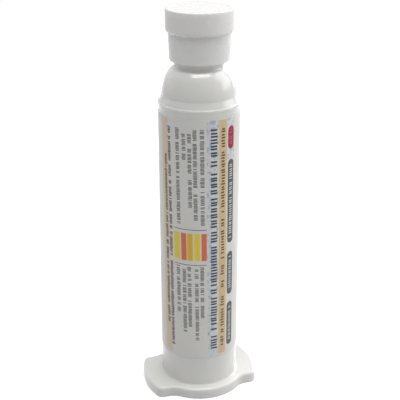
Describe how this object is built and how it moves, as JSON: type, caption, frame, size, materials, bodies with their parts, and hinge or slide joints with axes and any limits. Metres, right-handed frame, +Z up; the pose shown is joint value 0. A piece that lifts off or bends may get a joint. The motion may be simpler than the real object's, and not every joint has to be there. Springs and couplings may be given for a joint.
{
  "type": "flux syringe",
  "caption": "White dispensing syringe barrel of flux gel with a stepped push-on cap, a wrap-round label, an inner piston and a two-eared finger flange that it stands on.",
  "frame": {"origin": "centre of the flange's underside, on the barrel's axis, at the surface it stands on", "axes": "+Z up the barrel's axis from the flange to the cap, +X along the flange's two ears, so -Y faces one plain side of the flange"},
  "size_m": [0.0282, 0.0226, 0.0939],
  "materials": {
    "barrel_plastic": "smooth opaque white moulding, half gloss",
    "label_film": "printed white film with a soft sheen",
    "cap_plastic": "smooth opaque white moulding, slightly softer than the barrel",
    "piston_plastic": "waxy natural white moulding",
    "gel": "clear amber gel"
  },
  "bodies": {
    "barrel": {"barrel": "barrel_plastic", "label": "label_film", "flux_gel": "gel"},
    "cap": {"cap": "cap_plastic"},
    "piston": {"piston": "piston_plastic"}
  },
  "joints": [
    {"name": "cap_pull", "type": "slide", "parent": "barrel", "child": "cap", "axis": [0, 0, 1], "range_m": [0, 0.012]},
    {"name": "piston_slide", "type": "slide", "parent": "barrel", "child": "piston", "axis": [0, 0, 1], "range_m": [0, 0.054], "deforming": ["flux_gel"]}
  ]
}
